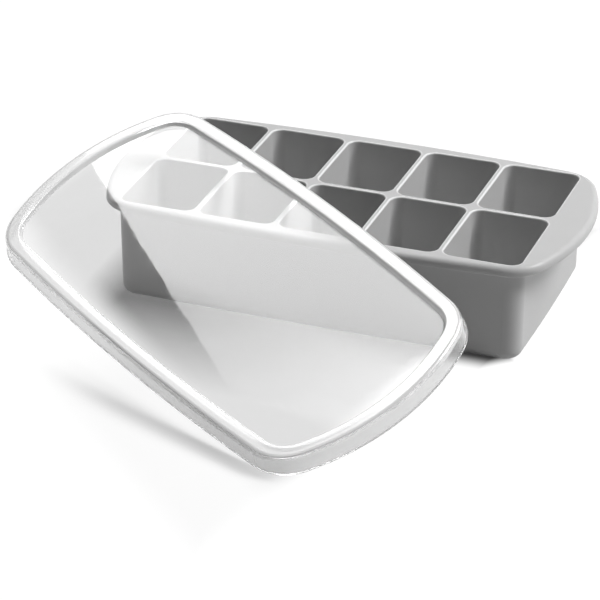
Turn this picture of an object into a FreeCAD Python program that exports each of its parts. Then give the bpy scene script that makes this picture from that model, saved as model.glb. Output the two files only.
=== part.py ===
import FreeCAD, Part
import math
import os
import Sketcher

# Baby food freezer tray: a silicone tray of ten cups in two rows of five, with a
# clear hard lid that is off the tray and leans on its front rim.
# Millimetres. Origin: middle of the tray's flat base, on the surface it stands on.
# +X runs along the row of five cups, +Y to the back, +Z up.

SIZES = [
    # the cups
    ("columns", 5, "cups in a row, along X"),
    ("rows", 2, "rows of cups, along Y"),
    ("cup_length", 35.5, "cup mouth along X"),
    ("cup_width", 48.0, "cup mouth along Y"),
    ("divider", 2.5, "wall between two cups, at the top"),
    ("cup_corner", 5.0, "radius of the cup's upright corners at the mouth"),
    ("cup_draft", 1.5, "slope of the cup walls, degrees"),
    ("cup_floor_fillet", 3.4, "radius between cup wall and cup floor"),
    ("cup_mouth_edge", 0.7, "rounding of the cup mouth"),
    ("floor_thickness", 3.0, "silicone under a cup"),
    # the outer walls
    ("tray_height", 47.5, "base to rim top"),
    ("end_wall", 1.5, "cup mouth to outer end wall, at the base"),
    ("side_wall", 2.2, "cup mouth to outer long wall, at the base"),
    ("wall_end_bow", 1500.0, "arc radius of the end walls"),
    ("wall_side_bow", 3000.0, "arc radius of the long walls"),
    ("wall_corner", 7.5, "radius of the upright outer corners"),
    ("wall_draft", 0.4, "outward slope of the outer walls, degrees"),
    ("base_edge", 4.5, "rounding between outer wall and base"),
    # the rim and its two handles
    ("handle_reach", 17.75, "cup mouth to the tip of a handle"),
    ("rim_side_reach", 7.25, "cup mouth to the rim's edge at the middle of a long side"),
    ("rim_end_bow", 105.0, "arc radius of the handle's edge"),
    ("rim_side_bow", 1200.0, "arc radius of the rim's long edges"),
    ("rim_corner", 19.5, "radius where handle and long edge meet"),
    ("rim_thickness", 4.6, "thickness of rim and handles"),
    ("rim_top_edge", 2.8, "rounding of the rim's top edge"),
    ("rim_low_edge", 1.0, "rounding of the rim's lower edge"),
    ("rim_neck", 0.8, "fillet between outer wall and rim"),
    # the lid
    ("lid_wall", 1.4, "thickness of skirt and land"),
    ("lid_clearance", 0.5, "gap round the tray rim, lid closed"),
    ("panel_thickness", 1.5, "thickness of the clear panel"),
    ("panel_inset", 6.3, "rim edge to panel edge"),
    ("land_rise", 2.0, "height of the raised land over the panel"),
    ("land_slope", 1.2, "width of the slope from panel up to land"),
    ("land_edge", 2.2, "rounding of the lid's top outer edge"),
    ("land_inner_edge", 0.9, "rounding where land and slope meet"),
    ("groove_inset", 4.2, "rim edge to the inner side of the groove under the land"),
    ("skirt_drop", 6.0, "skirt's reach below the panel's underside"),
    ("skirt_flare", 0.5, "outward slope of the skirt over that reach"),
    ("lip_reach", 0.6, "lip's reach beyond the skirt"),
    ("lip_thickness", 1.1, "height of the lip"),
    ("lip_edge", 0.35, "rounding of the lip"),
    # how the lid leans
    ("lid_turn", -30.3, "lid's turn about Z, degrees"),
    ("lid_dip", 8.15, "lid's dip to its right end, degrees"),
    ("lid_lean", 20.4, "lid's rise to its far side, degrees"),
    ("rest_gap", 0.3, "gap that is left where lid and tray touch"),
]
SIZE = {name: float(number) for name, number, note in SIZES}

doc = FreeCAD.newDocument("freezer_tray")
sheet = doc.addObject("Spreadsheet::Sheet", "Sizes")
for line, (name, number, note) in enumerate(SIZES, start=1):
    sheet.set("A%d" % line, name)
    sheet.set("B%d" % line, str(number))
    sheet.set("C%d" % line, note)
    sheet.setAlias("B%d" % line, name)
doc.recompute()


class Length:
    """A length kept twice: as a number, and as the expression on the sheet that gives it."""

    def __init__(self, number, words):
        self.number = number
        self.words = words

    def __add__(self, other):
        return Length(self.number + other.number, "(%s + %s)" % (self.words, other.words))

    def __sub__(self, other):
        return Length(self.number - other.number, "(%s - %s)" % (self.words, other.words))

    def times(self, factor):
        return Length(self.number * factor, "(%s * %s)" % (self.words, factor))


def size(name):
    return Length(SIZE[name], "Sizes.%s" % name)


def zero():
    return Length(0.0, "0")


def half_row(count_name, mouth_name):
    """Half the length of a row of cups, mouth edge to mouth edge."""
    number = (SIZE[count_name] * (SIZE[mouth_name] + SIZE["divider"]) - SIZE["divider"]) / 2
    words = "((Sizes.%s * (Sizes.%s + Sizes.divider) - Sizes.divider) / 2)" % (count_name, mouth_name)
    return Length(number, words)


GRID_HALF_LENGTH = half_row("columns", "cup_length")
GRID_HALF_WIDTH = half_row("rows", "cup_width")


class Outline:
    """A rectangle with four bowed sides and round corners, as five lengths."""

    def __init__(self, half_length, half_width, end_bow, side_bow, corner):
        self.half_length = half_length
        self.half_width = half_width
        self.end_bow = end_bow
        self.side_bow = side_bow
        self.corner = corner

    def grown(self, by):
        """The same outline moved outward by a length, arc by arc."""
        return Outline(
            self.half_length + by,
            self.half_width + by,
            self.end_bow + by,
            self.side_bow + by,
            self.corner + by,
        )

    def shrunk(self, by):
        return self.grown(zero() - by)


WALLS = Outline(
    GRID_HALF_LENGTH + size("end_wall"),
    GRID_HALF_WIDTH + size("side_wall"),
    size("wall_end_bow"),
    size("wall_side_bow"),
    size("wall_corner"),
)
RIM = Outline(
    GRID_HALF_LENGTH + size("handle_reach"),
    GRID_HALF_WIDTH + size("rim_side_reach"),
    size("rim_end_bow"),
    size("rim_side_bow"),
    size("rim_corner"),
)


def new_sketch(body, name, height):
    """A sketch of the body, parallel to its base, at a height."""
    sketch = body.newObject("Sketcher::SketchObject", name)
    base_plane = [plane for plane in body.Origin.OriginFeatures if plane.Role == "XY_Plane"][0]
    sketch.AttachmentSupport = [(base_plane, "")]
    sketch.MapMode = "FlatFace"
    sketch.setExpression(".AttachmentOffset.Base.z", height.words)
    return sketch


def fix(sketch, kind, where, length):
    """Add a measured constraint and bind it to the sheet."""
    index = sketch.addConstraint(Sketcher.Constraint(kind, *where, length.number))
    sketch.setExpression("Constraints[%d]" % index, length.words)


def ring_of_arcs(sketch, arcs):
    """Close a ring of arcs, given as (centre, radius, first angle, last angle)."""
    ring = []
    for centre, radius, first, last in arcs:
        circle = Part.Circle(centre, FreeCAD.Vector(0, 0, 1), radius)
        ring.append(sketch.addGeometry(Part.ArcOfCircle(circle, first, last), False))
    for here, there in zip(ring, ring[1:] + ring[:1]):
        sketch.addConstraint(Sketcher.Constraint("Tangent", here, 2, there, 1))
    return ring


def corner_centre(end_x, end_reach, side_y, side_reach):
    """The point at one reach from the end's centre and another from the side's."""
    apart = math.hypot(end_x, side_y)
    along = (end_reach ** 2 - side_reach ** 2 + apart ** 2) / (2 * apart)
    across = math.sqrt(end_reach ** 2 - along ** 2)
    way = FreeCAD.Vector(-end_x, side_y, 0).multiply(1 / apart)
    middle = FreeCAD.Vector(end_x, 0, 0) + way * along
    square = FreeCAD.Vector(way.y, -way.x, 0) * across
    return max((middle + square, middle - square), key=lambda point: point.x + point.y)


def draw_outline(sketch, outline):
    """Draw an outline: two end arcs, two side arcs and four corner arcs, tangent all round."""
    end_radius = outline.end_bow.number
    side_radius = outline.side_bow.number
    corner_radius = outline.corner.number
    end_x = outline.half_length.number - end_radius
    side_y = outline.half_width.number - side_radius
    corner = corner_centre(end_x, end_radius - corner_radius, side_y, side_radius - corner_radius)
    low = math.atan2(corner.y, corner.x - end_x)
    high = math.atan2(corner.y - side_y, corner.x)
    turn = math.pi
    arcs = [
        (FreeCAD.Vector(end_x, 0, 0), end_radius, -low, low),
        (corner, corner_radius, low, high),
        (FreeCAD.Vector(0, side_y, 0), side_radius, high, turn - high),
        (FreeCAD.Vector(-corner.x, corner.y, 0), corner_radius, turn - high, turn - low),
        (FreeCAD.Vector(-end_x, 0, 0), end_radius, turn - low, turn + low),
        (FreeCAD.Vector(-corner.x, -corner.y, 0), corner_radius, turn + low, turn + high),
        (FreeCAD.Vector(0, -side_y, 0), side_radius, turn + high, 2 * turn - high),
        (FreeCAD.Vector(corner.x, -corner.y, 0), corner_radius, -high, -low),
    ]
    ring = ring_of_arcs(sketch, arcs)
    x_axis, y_axis, origin = -1, -2, (-1, 1)
    for arc in ring[0::4]:
        sketch.addConstraint(Sketcher.Constraint("PointOnObject", arc, 3, x_axis))
        fix(sketch, "Radius", (arc,), outline.end_bow)
    for arc in ring[2::4]:
        sketch.addConstraint(Sketcher.Constraint("PointOnObject", arc, 3, y_axis))
        fix(sketch, "Radius", (arc,), outline.side_bow)
    for arc in ring[1::2]:
        fix(sketch, "Radius", (arc,), outline.corner)
    half_length = outline.half_length.number
    half_width = outline.half_width.number
    tips = [
        (ring[0], x_axis, FreeCAD.Vector(half_length, 0, 0)),
        (ring[2], y_axis, FreeCAD.Vector(0, half_width, 0)),
        (ring[4], x_axis, FreeCAD.Vector(-half_length, 0, 0)),
        (ring[6], y_axis, FreeCAD.Vector(0, -half_width, 0)),
    ]
    for arc, axis, place in tips:
        tip = (sketch.addGeometry(Part.Point(place), True), 1)
        sketch.addConstraint(Sketcher.Constraint("PointOnObject", *tip, axis))
        sketch.addConstraint(Sketcher.Constraint("PointOnObject", *tip, arc))
        ends = origin + tip if place.x + place.y > 0 else tip + origin
        if axis == x_axis:
            fix(sketch, "DistanceX", ends, outline.half_length)
        else:
            fix(sketch, "DistanceY", ends, outline.half_width)


def draw_cup_mouth(sketch):
    """Draw the mouth of the front left cup: a rectangle with round corners."""
    length = size("cup_length")
    width = size("cup_width")
    radius = size("cup_corner")
    left = zero() - GRID_HALF_LENGTH
    front = zero() - GRID_HALF_WIDTH
    x_low, x_high = left.number, left.number + length.number
    y_low, y_high = front.number, front.number + width.number
    r = radius.number
    quarter = math.pi / 2
    point = FreeCAD.Vector
    sides = [
        (point(x_low + r, y_low, 0), point(x_high - r, y_low, 0)),
        (point(x_high, y_low + r, 0), point(x_high, y_high - r, 0)),
        (point(x_high - r, y_high, 0), point(x_low + r, y_high, 0)),
        (point(x_low, y_high - r, 0), point(x_low, y_low + r, 0)),
    ]
    corners = [
        point(x_high - r, y_low + r, 0),
        point(x_high - r, y_high - r, 0),
        point(x_low + r, y_high - r, 0),
        point(x_low + r, y_low + r, 0),
    ]
    ring = []
    for number, (side, corner) in enumerate(zip(sides, corners)):
        first = (number - 1) * quarter
        circle = Part.Circle(corner, FreeCAD.Vector(0, 0, 1), r)
        ring.append(sketch.addGeometry(Part.LineSegment(*side), False))
        ring.append(sketch.addGeometry(Part.ArcOfCircle(circle, first, first + quarter), False))
    for here, there in zip(ring, ring[1:] + ring[:1]):
        sketch.addConstraint(Sketcher.Constraint("Tangent", here, 2, there, 1))
    for line in ring[0::4]:
        sketch.addConstraint(Sketcher.Constraint("Horizontal", line))
    for line in ring[2::4]:
        sketch.addConstraint(Sketcher.Constraint("Vertical", line))
    for arc in ring[1::2]:
        fix(sketch, "Radius", (arc,), radius)
    fix(sketch, "DistanceX", (ring[6], 1, -1, 1), GRID_HALF_LENGTH)
    fix(sketch, "DistanceY", (ring[0], 1, -1, 1), GRID_HALF_WIDTH)
    fix(sketch, "DistanceX", (ring[6], 1, ring[2], 1), length)
    fix(sketch, "DistanceY", (ring[0], 1, ring[4], 1), width)


def pad(body, name, sketch, length, taper=None, down=False):
    feature = body.newObject("PartDesign::Pad", name)
    feature.Profile = sketch
    feature.Reversed = down
    feature.setExpression("Length", length.words)
    if taper:
        feature.setExpression("TaperAngle", taper)
    doc.recompute()
    return feature


def pocket(body, name, sketch, length, taper=None, up=False):
    feature = body.newObject("PartDesign::Pocket", name)
    feature.Profile = sketch
    feature.Reversed = up
    feature.setExpression("Length", length.words)
    if taper:
        feature.setExpression("TaperAngle", taper)
    doc.recompute()
    return feature


SAME_PLACE = 0.01


def edges_at(feature, height, wanted=lambda edge: True):
    """Names of the feature's edges that lie flat at a height and are wanted."""
    names = []
    for number, edge in enumerate(feature.Shape.Edges, start=1):
        box = edge.BoundBox
        off = max(abs(box.ZMin - height.number), abs(box.ZMax - height.number))
        if off < SAME_PLACE and wanted(edge):
            names.append("Edge%d" % number)
    return names


def fillet(body, name, feature, edges, radius):
    if not edges:
        raise RuntimeError("no edge found for " + name)
    rounded = body.newObject("PartDesign::Fillet", name)
    rounded.Base = (feature, edges)
    rounded.setExpression("Radius", radius.words)
    doc.recompute()
    return rounded


def over_the_grid(edge):
    """Is the edge's middle inside the field of cups, or on its border?"""
    middle = edge.CenterOfMass
    past_x = abs(middle.x) - GRID_HALF_LENGTH.number
    past_y = abs(middle.y) - GRID_HALF_WIDTH.number
    return max(past_x, past_y) < SAME_PLACE


def on_outline(edge, outline):
    """Does the edge lie on the outline's own end and side arcs and corners?"""
    middle = edge.valueAt((edge.FirstParameter + edge.LastParameter) / 2)
    x, y = abs(middle.x), abs(middle.y)
    end_x = outline.half_length.number - outline.end_bow.number
    side_y = outline.half_width.number - outline.side_bow.number
    corner = corner_centre(
        end_x,
        outline.end_bow.number - outline.corner.number,
        side_y,
        outline.side_bow.number - outline.corner.number,
    )
    from_end = math.hypot(x - end_x, y) - outline.end_bow.number
    from_side = math.hypot(x, y - side_y) - outline.side_bow.number
    from_corner = math.hypot(x - corner.x, y - corner.y) - outline.corner.number
    return min(abs(from_end), abs(from_side), abs(from_corner)) < SAME_PLACE


# tray: one silicone moulding. A straight-walled box, a rim that widens into a handle
# at each end, and ten tapered cups sunk into it from the top.
def make_tray():
    body = doc.addObject("PartDesign::Body", "tray")
    body.Label = "tray"
    rim_low = size("tray_height") - size("rim_thickness")

    wall_sketch = new_sketch(body, "wall_outline", zero())
    draw_outline(wall_sketch, WALLS)
    wall_height = size("tray_height") - size("rim_thickness").times(0.5)
    pad(body, "walls", wall_sketch, wall_height, "Sizes.wall_draft")

    rim_sketch = new_sketch(body, "rim_outline", rim_low)
    draw_outline(rim_sketch, RIM)
    rim = pad(body, "rim", rim_sketch, size("rim_thickness"))

    neck_edges = edges_at(rim, rim_low, lambda edge: not on_outline(edge, RIM))
    neck = fillet(body, "neck", rim, neck_edges, size("rim_neck"))
    low_edges = edges_at(neck, rim_low, lambda edge: on_outline(edge, RIM))
    low = fillet(body, "rim_low", neck, low_edges, size("rim_low_edge"))
    top = fillet(body, "rim_top", low, edges_at(low, size("tray_height")), size("rim_top_edge"))
    base = fillet(body, "base", top, edges_at(top, zero()), size("base_edge"))

    cup_sketch = new_sketch(body, "cup_mouth", size("tray_height"))
    draw_cup_mouth(cup_sketch)
    cup_depth = size("tray_height") - size("floor_thickness")
    cup = pocket(body, "cup", cup_sketch, cup_depth, "-Sizes.cup_draft")

    cups = body.newObject("PartDesign::LinearPattern", "cups")
    cups.Originals = [cup]
    cups.Direction = (cup_sketch, ["H_Axis"])
    cups.Mode = "Extent"
    cups.setExpression("Length", "(Sizes.columns - 1) * (Sizes.cup_length + Sizes.divider)")
    cups.setExpression("Occurrences", "Sizes.columns")
    cups.Direction2 = (cup_sketch, ["V_Axis"])
    cups.Mode2 = "Extent"
    cups.setExpression("Length2", "(Sizes.rows - 1) * (Sizes.cup_width + Sizes.divider)")
    cups.setExpression("Occurrences2", "Sizes.rows")
    body.Tip = cups
    doc.recompute()

    floor_edges = edges_at(cups, size("floor_thickness"))
    floors = fillet(body, "cup_floors", cups, floor_edges, size("cup_floor_fillet"))
    mouth_edges = edges_at(floors, size("tray_height"), over_the_grid)
    mouths = fillet(body, "cup_mouths", floors, mouth_edges, size("cup_mouth_edge"))
    body.Tip = mouths
    doc.recompute()
    return body


# lid: one clear moulding, made in its own frame with z = 0 at the panel's underside, which
# lies on the rim top when the tray is closed. The panel is sunk between raised lands, and a
# flared skirt with a thin lip goes down round the rim.
def make_lid():
    body = doc.addObject("PartDesign::Body", "lid")
    body.Label = "lid"
    skirt_low = zero() - size("skirt_drop")
    land_top = size("panel_thickness") + size("land_rise")
    flare = "atan(Sizes.skirt_flare / Sizes.skirt_drop)"
    skirt_inside = RIM.grown(size("lid_clearance") + size("skirt_flare"))
    skirt_outside = skirt_inside.grown(size("lid_wall"))

    outer_sketch = new_sketch(body, "skirt_outline", skirt_low)
    draw_outline(outer_sketch, skirt_outside)
    block = pad(body, "block", outer_sketch, size("skirt_drop") + land_top, "-" + flare)
    fillet(body, "crown", block, edges_at(block, land_top), size("land_edge"))

    recess_sketch = new_sketch(body, "panel_outline", size("panel_thickness"))
    draw_outline(recess_sketch, RIM.shrunk(size("panel_inset")))
    recess_slope = "atan(Sizes.land_slope / Sizes.land_rise)"
    recess = pocket(body, "recess", recess_sketch, size("land_rise"), recess_slope, up=True)
    brow_edges = edges_at(recess, land_top, lambda edge: not on_outline(edge, RIM))
    fillet(body, "brow", recess, brow_edges, size("land_inner_edge"))

    inside_sketch = new_sketch(body, "skirt_inside", skirt_low)
    draw_outline(inside_sketch, skirt_inside)
    pocket(body, "hollow", inside_sketch, size("skirt_drop"), "-" + flare, up=True)

    groove_sketch = new_sketch(body, "groove", zero())
    draw_outline(groove_sketch, RIM.grown(size("lid_clearance")))
    draw_outline(groove_sketch, RIM.shrunk(size("groove_inset")))
    groove_depth = land_top - size("lid_wall")
    pocket(body, "land_groove", groove_sketch, groove_depth, up=True)

    lip_outline = skirt_outside.grown(size("lip_reach"))
    lip_sketch = new_sketch(body, "lip", skirt_low)
    draw_outline(lip_sketch, lip_outline)
    draw_outline(lip_sketch, skirt_inside.grown(size("lid_wall").times(0.5)))
    lip = pad(body, "lip_ring", lip_sketch, size("lip_thickness"))
    lip_edges = []
    for height in (skirt_low, skirt_low + size("lip_thickness")):
        lip_edges += edges_at(lip, height, lambda edge: on_outline(edge, lip_outline))
    rounded = fillet(body, "lip_edge", lip, lip_edges, size("lip_edge"))
    body.Tip = rounded
    doc.recompute()
    return body


def lid_lip_wire():
    """The lip's outer outline at its lower face, in the lid's own frame."""
    return max(doc.getObject("lip").Shape.Wires, key=lambda wire: wire.Length)


# How the leaning lid is placed: points tested round the lip, where its middle is sought
# along X as shares of the tray's half length, and how often that range is halved.
LIP_POINTS = 720
LEAN_RANGE = (-0.5, -0.15)
LEAN_STEPS = 16


def contact_lean(tray, lid, lip_outline):
    """Lean the lid: its lip's low corner on the table, its panel on the rim's front edge,
    and its far lip just over the rim top. The three angles are given, the place follows."""
    turned = FreeCAD.Rotation(SIZE["lid_turn"], SIZE["lid_dip"], SIZE["lid_lean"])
    square = turned.multVec(FreeCAD.Vector(0, 0, 1))
    lid_shape = lid.Shape.copy()
    lid_shape.Placement = FreeCAD.Placement(FreeCAD.Vector(), turned)
    foot = lid_shape.optimalBoundingBox().ZMin
    tray_shape = tray.Shape.copy()
    tray_shape.Placement = FreeCAD.Placement(FreeCAD.Vector(), turned.inverted())
    crest = tray_shape.optimalBoundingBox().ZMax + SIZE["rest_gap"]
    rim_wire = doc.getObject("rim_outline").Shape.Wires[0]
    rim_face = Part.Face(rim_wire.makeOffset2D(-SIZE["rim_top_edge"] / 2))
    rim_face.translate(FreeCAD.Vector(0, 0, -rim_face.BoundBox.ZMin))

    def place(x):
        y = (crest - square.x * x + square.z * foot) / square.y
        return FreeCAD.Placement(FreeCAD.Vector(x, y, -foot), turned)

    def skirt_gap(x):
        """Lowest height of the lip over the rim top, where the lip is above the tray."""
        gaps = [math.inf]
        for point in lip_outline.discretize(Number=LIP_POINTS):
            point = place(x).multVec(point)
            if rim_face.isInside(FreeCAD.Vector(point.x, point.y, 0), SAME_PLACE, True):
                gaps.append(point.z - SIZE["tray_height"])
        return min(gaps)

    low, high = (share * RIM.half_length.number for share in LEAN_RANGE)
    for step in range(LEAN_STEPS):
        middle = (low + high) / 2
        if skirt_gap(middle) < SIZE["rest_gap"]:
            low = middle
        else:
            high = middle
    return place(high)


def check_document():
    for item in doc.Objects:
        faults = [word for word in item.State if word in ("Invalid", "Error")]
        if faults:
            raise RuntimeError("%s: %s" % (item.Name, faults))


def export(body):
    shape = body.Shape
    if shape.isNull() or not shape.isValid() or len(shape.Solids) != 1:
        raise RuntimeError("bad shape: " + body.Label)
    shape.exportStep("parts/%s.step" % body.Label)


tray = make_tray()
lid = make_lid()
lid.Placement = contact_lean(tray, lid, lid_lip_wire())
doc.recompute()
check_document()
os.makedirs("parts", exist_ok=True)
for piece in (tray, lid):
    export(piece)
    box = piece.Shape.optimalBoundingBox()
    low = "%.2f %.2f %.2f" % (box.XMin, box.YMin, box.ZMin)
    high = "%.2f %.2f %.2f" % (box.XMax, box.YMax, box.ZMax)
    print("%s: %.1f cm3, from %s to %s" % (piece.Label, piece.Shape.Volume / 1000, low, high))
print("lid placement", lid.Placement)
print("gap", tray.Shape.distToShape(lid.Shape)[0])
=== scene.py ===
import math
import bpy
from mathutils import Euler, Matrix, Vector


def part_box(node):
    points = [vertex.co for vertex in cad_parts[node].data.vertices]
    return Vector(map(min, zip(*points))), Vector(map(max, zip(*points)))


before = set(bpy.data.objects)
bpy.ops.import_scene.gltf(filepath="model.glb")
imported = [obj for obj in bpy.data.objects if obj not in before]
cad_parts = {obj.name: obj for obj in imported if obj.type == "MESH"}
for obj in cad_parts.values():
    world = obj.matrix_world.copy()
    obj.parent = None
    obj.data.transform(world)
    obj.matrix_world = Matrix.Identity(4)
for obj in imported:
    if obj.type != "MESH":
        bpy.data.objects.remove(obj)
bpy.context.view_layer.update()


# Camera: a long lens that stands 1.4 m away and looks down on the tray from the front
# right. Sizes here and below are in metres, unless a name says otherwise.
CAMERA_PLACE = (0.4075, -1.1589, 0.6293)
CAMERA_DOWN = math.radians(27.49)
CAMERA_TURN = math.radians(20.47)
LENS_MM = 180.0
SENSOR_MM = 36.0
NEAREST = 0.01
FARTHEST = 20.0

camera = bpy.data.objects.new("camera", bpy.data.cameras.new("camera"))
bpy.context.scene.collection.objects.link(camera)
camera.data.lens = LENS_MM
camera.data.sensor_width = SENSOR_MM
camera.data.clip_start = NEAREST
camera.data.clip_end = FARTHEST
camera.location = CAMERA_PLACE
camera.rotation_euler = (math.pi / 2 - CAMERA_DOWN, 0.0, CAMERA_TURN)
bpy.context.scene.camera = camera


# Tray: ten cups, a rim and two grips, cast in one shot of pale grey silicone. The mould
# leaves it matt with a fine grain, and smoother along the cup mouths, where a paler colour is
# painted on as a highlight.
SILICONE_GREY = (0.565, 0.565, 0.565, 1.0)
SILICONE_PALE = (0.615, 0.615, 0.615, 1.0)
SILICONE_IOR = 1.43
SILICONE_MILKINESS = 0.12
SILICONE_REACH = (0.004, 0.004, 0.004)
GRAIN_DETAIL = 3.0
MASK_LOW = 0.3
MASK_HIGH = 0.7
CLOUD_SCALE = 38.0
FINE_SCALE = 1800.0
FINE_STRENGTH = 0.25
FINE_DEPTH = 0.00006
MATT_LOW = 0.34
MATT_HIGH = 0.46
CUP_PITCH = (0.038, 0.0505)
CUP_HALF = (0.01775, 0.024)
CUP_CORNER = 0.005
CUPS_IN_ROW = 5
MOUTH_PAINTED_HIGHLIGHT = (0.93, 0.93, 0.93, 1.0)
MOUTH_ROUGHNESS = 0.18
MOUTH_BAND = 0.0010
MOUTH_DEPTH = 0.0009
ROW_END_FADE = 0.0002
ZERO = (0.0, 0.0, 0.0)


def new_material(name):
    """A node material and its shader."""
    material = bpy.data.materials.new(name)
    material.use_nodes = True
    return material, material.node_tree.nodes["Principled BSDF"]


def new_node(kind, beside):
    """A node in the tree that a socket or another node belongs to."""
    return beside.id_data.nodes.new(kind)


def feed(socket, value):
    """Link a node's output to a socket, or set the socket to a constant."""
    if isinstance(value, bpy.types.NodeSocket):
        value.id_data.links.new(value, socket)
    else:
        socket.default_value = value


def feed_all(sockets, values):
    for socket, value in zip(sockets, values):
        feed(socket, value)


def maths(operation, *values):
    """The result of a sum on numbers, the first of which is a node's output."""
    node = new_node("ShaderNodeMath", values[0])
    node.operation = operation
    feed_all(node.inputs, values)
    return node.outputs["Value"]


def vector_maths(operation, *values):
    """The result of a sum on vectors, the first of which is a node's output."""
    node = new_node("ShaderNodeVectorMath", values[0])
    node.operation = operation
    feed_all(node.inputs, values)
    return node.outputs["Value" if operation in ("LENGTH", "DOT_PRODUCT") else "Vector"]


def mapped(value, low, high, first=0.0, last=1.0, smooth=False):
    """Carry a value's range from low to high over to first to last."""
    node = new_node("ShaderNodeMapRange", value)
    node.interpolation_type = "SMOOTHSTEP" if smooth else "LINEAR"
    names = ("Value", "From Min", "From Max", "To Min", "To Max")
    feed_all([node.inputs[name] for name in names], (value, low, high, first, last))
    return node.outputs["Result"]


def blend(factor, first, last, data_type="FLOAT"):
    """Mix two values, or two colours, by a factor."""
    node = new_node("ShaderNodeMix", factor)
    node.data_type = data_type
    feed_all([socket for socket in node.inputs if socket.enabled], (factor, first, last))
    return next(socket for socket in node.outputs if socket.enabled)


def grain_group():
    """A shader group: a grain that runs from 0 to 1 at one scale, and its bump normal."""
    group = bpy.data.node_groups.new("moulded_grain", "ShaderNodeTree")
    for name in ("Scale", "Strength", "Depth"):
        group.interface.new_socket(name, in_out="INPUT", socket_type="NodeSocketFloat")
    group.interface.new_socket("Mask", in_out="OUTPUT", socket_type="NodeSocketFloat")
    group.interface.new_socket("Normal", in_out="OUTPUT", socket_type="NodeSocketVector")
    given = group.nodes.new("NodeGroupInput")
    out = group.nodes.new("NodeGroupOutput")
    noise = group.nodes.new("ShaderNodeTexNoise")
    noise.inputs["Detail"].default_value = GRAIN_DETAIL
    feed(noise.inputs["Vector"], group.nodes.new("ShaderNodeTexCoord").outputs["Object"])
    feed(noise.inputs["Scale"], given.outputs["Scale"])
    bump = group.nodes.new("ShaderNodeBump")
    feed(bump.inputs["Strength"], given.outputs["Strength"])
    feed(bump.inputs["Distance"], given.outputs["Depth"])
    feed(bump.inputs["Height"], noise.outputs["Fac"])
    feed(out.inputs["Mask"], noise.outputs["Fac"])
    feed(out.inputs["Normal"], bump.outputs["Normal"])
    return group


GRAIN = grain_group()


def grain(surface, scale, strength=0.0, depth=0.0):
    """The moulded grain in a material, with that material's own scale, strength and depth."""
    node = new_node("ShaderNodeGroup", surface)
    node.node_tree = GRAIN
    node.inputs["Scale"].default_value = scale
    node.inputs["Strength"].default_value = strength
    node.inputs["Depth"].default_value = depth
    return node


def spread(mask, low, high):
    """Carry a grain's mask over to a range."""
    return mapped(mask, MASK_LOW, MASK_HIGH, low, high)


silicone, surface = new_material("silicone")
cloud = grain(surface, CLOUD_SCALE)
fine = grain(surface, FINE_SCALE, FINE_STRENGTH, FINE_DEPTH)
place = new_node("ShaderNodeTexCoord", surface).outputs["Object"]
spot = new_node("ShaderNodeSeparateXYZ", surface)
feed(spot.inputs["Vector"], place)
x, y, z = spot.outputs

# This mask is 1 on the rounded edge of each cup: near the cup's outline, at the rim top,
# and within the five cups of a row. There it paints a highlight into the colour, and makes
# the silicone smoother.
tray_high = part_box("tray")[1]
along_cup = maths("ABSOLUTE", maths("WRAP", x, CUP_PITCH[0] / 2, -CUP_PITCH[0] / 2))
across_cup = maths("ABSOLUTE", maths("SUBTRACT", maths("ABSOLUTE", y), CUP_PITCH[1] / 2))
from_middle = new_node("ShaderNodeCombineXYZ", surface)
feed(from_middle.inputs["X"], along_cup)
feed(from_middle.inputs["Y"], across_cup)
straight_part = (CUP_HALF[0] - CUP_CORNER, CUP_HALF[1] - CUP_CORNER, 0.0)
past_straight = vector_maths("SUBTRACT", from_middle.outputs["Vector"], straight_part)
past_straight = vector_maths("LENGTH", vector_maths("MAXIMUM", past_straight, ZERO))
edge = mapped(past_straight, CUP_CORNER + MOUTH_BAND, CUP_CORNER + MOUTH_BAND / 2)
at_top = mapped(z, tray_high[2] - MOUTH_DEPTH, tray_high[2] - MOUTH_DEPTH / 3)
row_end = CUPS_IN_ROW / 2 * CUP_PITCH[0]
in_row = mapped(maths("ABSOLUTE", x), row_end + ROW_END_FADE, row_end - ROW_END_FADE)
mouth_highlight_and_gloss = maths("MULTIPLY", maths("MULTIPLY", edge, at_top), in_row)

tone = blend(cloud.outputs["Mask"], SILICONE_GREY, SILICONE_PALE, "RGBA")
# Painted highlight: the cup mouths take a paler colour than the rest of the silicone.
feed(surface.inputs["Base Color"], blend(mouth_highlight_and_gloss, tone, MOUTH_PAINTED_HIGHLIGHT, "RGBA"))
matt = spread(fine.outputs["Mask"], MATT_LOW, MATT_HIGH)
feed(surface.inputs["Roughness"], blend(mouth_highlight_and_gloss, matt, MOUTH_ROUGHNESS))
feed(surface.inputs["Normal"], fine.outputs["Normal"])
surface.inputs["IOR"].default_value = SILICONE_IOR
surface.inputs["Subsurface Weight"].default_value = SILICONE_MILKINESS
surface.inputs["Subsurface Radius"].default_value = SILICONE_REACH

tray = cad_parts["tray"]
tray.data.materials.clear()
tray.data.materials.append(silicone)


# Lid: one injection moulding of clear hard plastic, polished on both faces. Its flat panel is
# sunk, and the land round it is softly crowned and coated, with a nearly opaque white painted
# on as the white room it mirrors; its skirt greys in its depth.
# LID_MIDDLE is on the panel's underside, and heights are taken from it, square to the panel.
LID_MIDDLE = Vector((-0.02634, -0.0869, 0.03761))
LID_TURN = math.radians(-30.3)
LID_DIP = math.radians(8.15)
LID_LEAN = math.radians(20.4)
LID_ALONG, LID_ACROSS, LID_AXIS = Euler((LID_LEAN, LID_DIP, LID_TURN)).to_matrix().col
LEVEL = 0.999
PANEL_LOW = -0.0001
PANEL_HIGH = 0.0022
LAND_LOW = 0.0014
SLOPE_UPWARD = 0.3
CROWN_UPWARD = 0.7
RIM_END_BOW = 0.105
RIM_SIDE_BOW = 1.2
RIM_CORNER = 0.022
LAND_OUTER = -0.0019
LAND_INNER = -0.0050
CROWN_SLOPE = 0.19
PLASTIC_IOR = 1.49
COAT_IOR = 1.9
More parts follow.
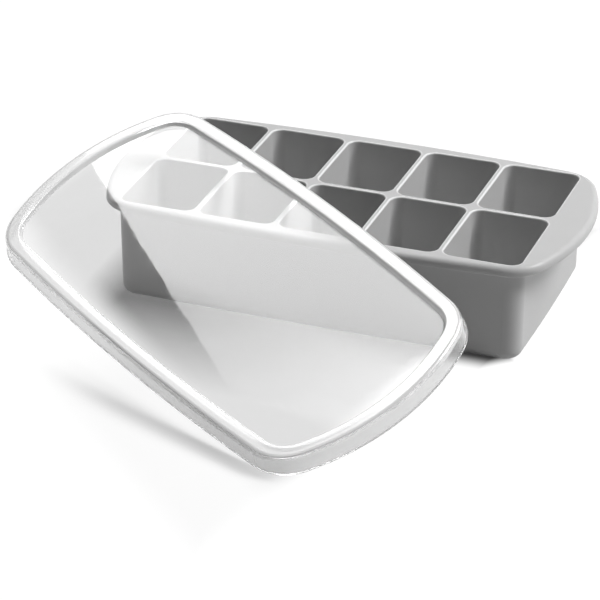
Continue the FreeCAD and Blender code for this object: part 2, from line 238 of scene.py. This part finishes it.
COAT_ROUGHNESS = 0.25
WAVE_SCALE = 20.0
WAVE_STRENGTH = 0.08
WAVE_DEPTH = 0.0004
HAZE_SCALE = 240.0
HAZE_ROUGHNESS = 0.03
CLEAR = (0.93, 0.93, 0.93, 1.0)
CLEAR_DEEP = (0.91, 0.91, 0.91, 1.0)
LAND_PAINTED_WHITE = (0.95, 0.95, 0.95, 1.0)
LAND_CLEARNESS = 0.25
SKIRT_PALE = (0.93, 0.93, 0.93, 1.0)
SKIRT_DEEP = (0.86, 0.86, 0.86, 1.0)
SKIRT_CLEARNESS = 0.75
PANEL_SHADE = (0.97, 0.97, 0.97, 1.0)
SKIRT_SHADE = (0.42, 0.42, 0.42, 1.0)
INSIDE_SHEEN = (0.96, 0.96, 0.96, 1.0)


def past_arc(toward, aside, half, bow):
    """How far a point lies outside an edge that is half a length or width away.

    The edge is an arc with the radius bow."""
    from_centre = maths("ADD", toward, bow - half)
    squared = maths("MULTIPLY", from_centre, from_centre)
    squared = maths("ADD", squared, maths("MULTIPLY", aside, aside))
    return maths("SUBTRACT", maths("SQRT", squared), bow)


def crowned(surface, normal):
    """The crown of the land, as a bump: from its outer edge it rolls down to the panel.

    LAND_OUTER and LAND_INNER are distances past the outline of the tray's rim."""
    place = new_node("ShaderNodeTexCoord", surface).outputs["Object"]
    place = vector_maths("SUBTRACT", place, LID_MIDDLE)
    along = maths("ABSOLUTE", vector_maths("DOT_PRODUCT", place, LID_ALONG))
    across = maths("ABSOLUTE", vector_maths("DOT_PRODUCT", place, LID_ACROSS))
    past_end = past_arc(along, across, tray_high[0], RIM_END_BOW)
    past_side = past_arc(across, along, tray_high[1], RIM_SIDE_BOW)
    past_rim = maths("SMOOTH_MAX", past_end, past_side, RIM_CORNER)
    inward = mapped(past_rim, LAND_OUTER, LAND_INNER)
    fall = CROWN_SLOPE * (LAND_OUTER - LAND_INNER) / 2
    bump = new_node("ShaderNodeBump", surface)
    bump.inputs["Strength"].default_value = 1.0
    bump.inputs["Distance"].default_value = 1.0
    feed(bump.inputs["Height"], maths("MULTIPLY", maths("MULTIPLY", inward, inward), -fall))
    feed(bump.inputs["Normal"], normal)
    return bump.outputs["Normal"]


def clear_plastic(name, pale, deep, let_past, clearness=1.0, coat=0.0, crown=False):
    """Polished clear plastic with a moulding's slight waves and haze.

    let_past gives the kinds of ray that go straight through, each with its tint."""
    material, surface = new_material(name)
    surface.inputs["IOR"].default_value = PLASTIC_IOR
    surface.inputs["Transmission Weight"].default_value = clearness
    surface.inputs["Coat Weight"].default_value = coat
    surface.inputs["Coat Roughness"].default_value = COAT_ROUGHNESS
    surface.inputs["Coat IOR"].default_value = COAT_IOR
    haze = grain(surface, HAZE_SCALE)
    feed(surface.inputs["Base Color"], blend(haze.outputs["Mask"], pale, deep, "RGBA"))
    feed(surface.inputs["Roughness"], spread(haze.outputs["Mask"], 0.0, HAZE_ROUGHNESS))
    normal = grain(surface, WAVE_SCALE, WAVE_STRENGTH, WAVE_DEPTH).outputs["Normal"]
    feed(surface.inputs["Normal"], crowned(surface, normal) if crown else normal)
    path = new_node("ShaderNodeLightPath", surface)
    shader = surface.outputs["BSDF"]
    for rays, tint in let_past:
        straight = new_node("ShaderNodeBsdfTransparent", surface)
        straight.inputs["Color"].default_value = tint
        choice = new_node("ShaderNodeMixShader", surface)
        feed_all(choice.inputs, (path.outputs[rays], shader, straight.outputs["BSDF"]))
        shader = choice.outputs["Shader"]
    feed(material.node_tree.nodes["Material Output"].inputs["Surface"], shader)
    return material


clear_panel = clear_plastic("clear_panel", CLEAR, CLEAR_DEEP, (
    ("Is Diffuse Ray", PANEL_SHADE),
    ("Is Shadow Ray", PANEL_SHADE),
))
# Painted reflection: the land's nearly opaque white stands in for the white room it mirrors.
clear_land = clear_plastic("clear_land", LAND_PAINTED_WHITE, CLEAR, (
    ("Is Diffuse Ray", PANEL_SHADE),
    ("Is Reflection Ray", INSIDE_SHEEN),
    ("Is Shadow Ray", PANEL_SHADE),
), clearness=LAND_CLEARNESS, coat=1.0, crown=True)
clear_skirt = clear_plastic("clear_skirt", SKIRT_PALE, SKIRT_DEEP, (
    ("Is Diffuse Ray", PANEL_SHADE),
    ("Is Reflection Ray", INSIDE_SHEEN),
    ("Is Shadow Ray", SKIRT_SHADE),
), clearness=SKIRT_CLEARNESS)


def finish_of(face):
    """The plastic of one face of the lid: its panel, the land with its slope, or the skirt."""
    away = face.center - LID_MIDDLE
    height = away.dot(LID_AXIS)
    upward = face.normal.dot(LID_AXIS)
    if abs(upward) > LEVEL and PANEL_LOW < height < PANEL_HIGH:
        return clear_panel
    faces_panel = away.dot(face.normal) < height * upward
    if height > LAND_LOW and upward > (SLOPE_UPWARD if faces_panel else CROWN_UPWARD):
        return clear_land
    return clear_skirt


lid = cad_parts["lid"]
finishes = (clear_panel, clear_land, clear_skirt)
lid.data.materials.clear()
for finish in finishes:
    lid.data.materials.append(finish)
for face in lid.data.polygons:
    face.material_index = finishes.index(finish_of(face))


# Floor: a plain white sheet whose brightness is mostly emission set by place. Under the lid
# it paints shade that darkens close to the tray, along the tray's front it paints a contact
# shadow, and all round them it is white. Only beside the lid's near edge does it take real
# light, so that the lid's own shadow shows there. A mask is a direction from the tray's
# middle, with the distances at which it starts and ends.
FLOOR_SIZE = 12.0
FLOOR_DROP = 0.0002
FLOOR_WHITE = (1.0, 1.0, 1.0, 1.0)
FLOOR_BOUNCE = 0.5
FLOOR_SHADED = 0.72
FLOOR_OPEN = 0.05
TRAY_HALF = (0.0914, 0.0475, 1.0)
STRETCH = (3.2, 1.0, 0.0)
UNDER_LID_PAINTED_SHADE_REACH = (0.004, 0.074)
UNDER_LID_PAINTED_SHADE_GLOW = (0.15, 0.76)
BESIDE_LID_GLOW = 0.4
PAINTED_CONTACT_SHADOW_REACH = (0.0, 0.014)
PAINTED_CONTACT_SHADOW_GLOW = (0.04, 1.0)
LID_NEAR = (-0.68, -0.73, 0.0)
NEAR_SIDE = (LID_NEAR, 0.10, 0.125)
LEFT_END = ((-1.0, 0.0, 0.0), 0.05, 0.11)
OPEN_SIDES = (
    ((1.0, -0.2, 0.0), 0.060, 0.078),
    ((-0.99, 0.13, 0.0), 0.165, 0.185),
    ((0.0, 1.0, 0.0), 0.07, 0.10),
    (LID_NEAR, 0.15, 0.175),
)
PAINTED_SHADOW_ENDS = (
    ((0.68, -0.73, 0.0), 0.090, 0.099),
    ((0.96, 0.28, 0.0), 0.070, 0.0765),
)


def background_rays(beside):
    """1 for rays that see the white background: from the camera, off gloss, through plastic."""
    path = new_node("ShaderNodeLightPath", beside)
    value = maths("MAXIMUM", path.outputs["Is Camera Ray"], path.outputs["Is Glossy Ray"])
    return maths("MAXIMUM", value, path.outputs["Is Transmission Ray"])


bpy.ops.mesh.primitive_plane_add(size=FLOOR_SIZE, location=(0.0, 0.0, -FLOOR_DROP))
floor = bpy.context.object
floor.name = "floor"
white_floor, surface = new_material("white_floor")
surface.inputs["Roughness"].default_value = 1.0
surface.inputs["Specular IOR Level"].default_value = 0.0
surface.inputs["Emission Color"].default_value = FLOOR_WHITE
seen = background_rays(surface)
place = new_node("ShaderNodeTexCoord", surface).outputs["Object"]


def past(direction, start, end):
    """0 up to the start along a direction, 1 beyond the end, smooth between them."""
    return mapped(vector_maths("DOT_PRODUCT", place, direction), start, end, smooth=True)


def either(masks):
    """The highest of some masks."""
    result, *others = masks
    for mask in others:
        result = maths("MAXIMUM", result, mask)
    return result


beyond = vector_maths("SUBTRACT", vector_maths("ABSOLUTE", place), TRAY_HALF)
beyond = vector_maths("MULTIPLY", vector_maths("MAXIMUM", beyond, ZERO), STRETCH)
from_tray = vector_maths("LENGTH", beyond)

near_side = past(*NEAR_SIDE)
left_corner = maths("MULTIPLY", near_side, past(*LEFT_END))
open_floor = either([past(*side) for side in OPEN_SIDES] + [left_corner])
in_shade = maths("MULTIPLY", mapped(open_floor, 0.0, 1.0, 1.0, 0.0), near_side)
paper = mapped(in_shade, 0.0, 1.0, FLOOR_OPEN, FLOOR_SHADED)
feed(surface.inputs["Base Color"], blend(seen, FLOOR_BOUNCE, paper))

# Painted shade: under the lid the floor's glow is dimmer the closer it lies to the tray.
under_lid_painted_shade = mapped(from_tray, *UNDER_LID_PAINTED_SHADE_REACH, *UNDER_LID_PAINTED_SHADE_GLOW)
# Painted contact shadow: on the open floor the glow drops close to the tray's front, and the shadow
# ends past the tray's corners.
painted_contact_shadow = mapped(from_tray, *PAINTED_CONTACT_SHADOW_REACH, *PAINTED_CONTACT_SHADOW_GLOW, smooth=True)
front_glow_with_painted_shadow = either([painted_contact_shadow] + [past(*corner) for corner in PAINTED_SHADOW_ENDS])
glow_with_painted_shade = blend(open_floor, blend(near_side, under_lid_painted_shade, BESIDE_LID_GLOW), front_glow_with_painted_shadow)
feed(surface.inputs["Emission Strength"], maths("MULTIPLY", glow_with_painted_shade, seen))
floor.data.materials.append(white_floor)


# Light: a softbox overhead and behind to the left, which the lid's panel mirrors, a key
# softbox high behind on the right, and a dim room whose walls and ceiling look white.
OVERHEAD_PLACE = (-0.473, 0.469, 1.3)
OVERHEAD_TURN = (0.0, 0.0, math.radians(43.2))
OVERHEAD_SIZE = (0.5, 0.8)
OVERHEAD_WATTS = 6.7
CLOTH_SLOPE = (0.5, 0.48, 0.0)
CLOTH_DARK = 0.204
CLOTH_BRIGHT = 0.297
KEY_PLACE = (1.005, 0.366, 1.26)
KEY_AIM = (0.0, 0.0, 0.03)
KEY_SIZE = (0.7, 0.6)
KEY_WATTS = 22.8
ROOM_WHITE = (1.0, 1.0, 1.0, 1.0)
ROOM_LEVEL = 0.06
WALL_TOP = 0.25
CEILING_LOW = 0.75
WALL_SEEN = 1.0
CEILING_SEEN = 0.9


def softbox(name, place, size, watts, turn):
    """Hang a softbox at a place, and give back its light."""
    lamp = bpy.data.lights.new(name, "AREA")
    lamp.shape = "RECTANGLE"
    lamp.size, lamp.size_y = size
    lamp.energy = watts
    holder = bpy.data.objects.new(name, lamp)
    bpy.context.scene.collection.objects.link(holder)
    holder.location = place
    holder.rotation_euler = turn
    return lamp


def facing(place, aim):
    """The turn that points a lamp at a place."""
    away = Vector(place) - Vector(aim)
    return (math.atan2(math.hypot(away.x, away.y), away.z), 0.0, math.atan2(away.x, -away.y))


softbox("softbox_key", KEY_PLACE, KEY_SIZE, KEY_WATTS, facing(KEY_PLACE, KEY_AIM))
overhead = softbox("softbox_overhead", OVERHEAD_PLACE, OVERHEAD_SIZE, OVERHEAD_WATTS, OVERHEAD_TURN)

# The overhead softbox is dark across one corner of its cloth.
overhead.use_nodes = True
emission = overhead.node_tree.nodes["Emission"]
cloth = new_node("ShaderNodeNewGeometry", emission).outputs["Parametric"]
from_corner = vector_maths("DOT_PRODUCT", cloth, CLOTH_SLOPE)
feed(emission.inputs["Strength"], mapped(from_corner, CLOTH_DARK, CLOTH_BRIGHT))

room = bpy.data.worlds.new("room")
bpy.context.scene.world = room
room.use_nodes = True
dim = room.node_tree.nodes["Background"]
dim.inputs["Color"].default_value = ROOM_WHITE
way = new_node("ShaderNodeSeparateXYZ", dim)
feed(way.inputs["Vector"], new_node("ShaderNodeTexCoord", dim).outputs["Generated"])
shown = mapped(way.outputs["Z"], WALL_TOP, CEILING_LOW, WALL_SEEN, CEILING_SEEN)
feed(dim.inputs["Strength"], blend(background_rays(dim), ROOM_LEVEL, shown))

bpy.context.scene.view_settings.view_transform = "Standard"
